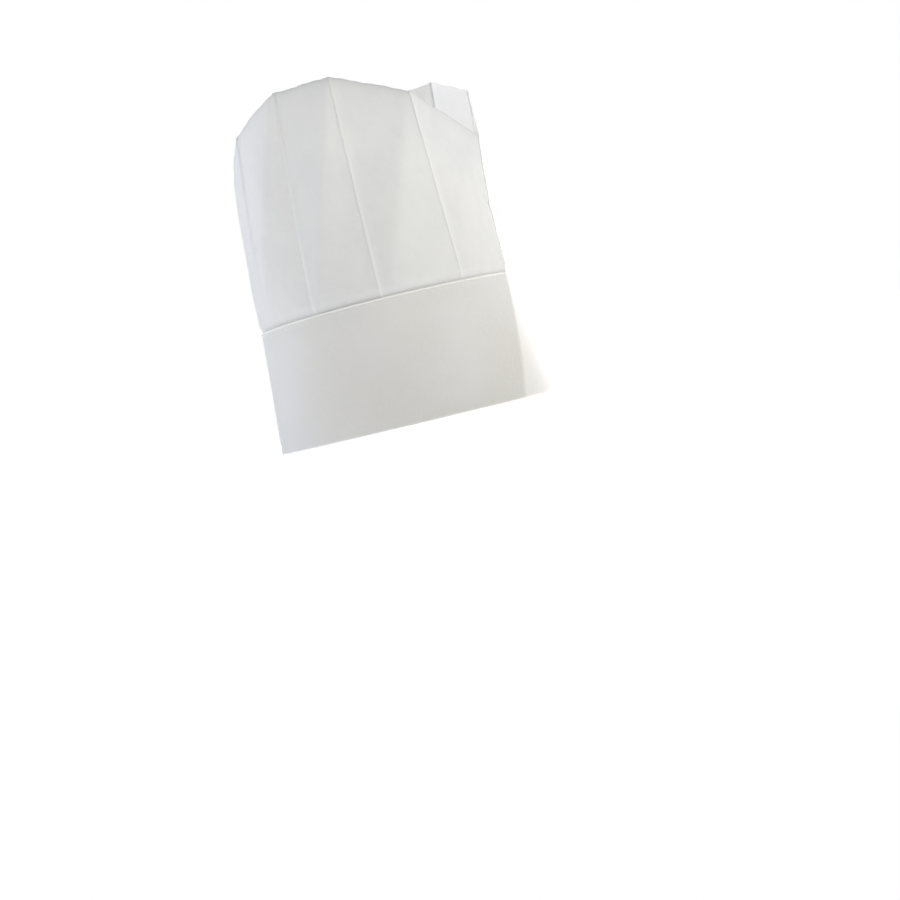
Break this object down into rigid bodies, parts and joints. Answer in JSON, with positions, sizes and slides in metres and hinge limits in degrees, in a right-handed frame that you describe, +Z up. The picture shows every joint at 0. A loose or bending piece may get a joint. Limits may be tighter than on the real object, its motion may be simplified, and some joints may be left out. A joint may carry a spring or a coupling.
{
  "type": "paper chef hat",
  "caption": "Tall pleated paper chef hat with a deep plain headband and an open crown whose rim dips at front and back.",
  "frame": {"origin": "middle of the headband's lower edge, which the hat stands on", "axes": "+Z up from the headband to the rim, front crease towards -Y, wearer's right side towards -X"},
  "size_m": [0.1811, 0.2198, 0.2533],
  "materials": {
    "band_paper": "matt embossed non-woven paper",
    "crown_paper": "thin matt translucent paper with pressed pleats"
  },
  "bodies": {
    "root": {"headband": "band_paper", "pleated_crown": "crown_paper"}
  },
  "joints": []
}
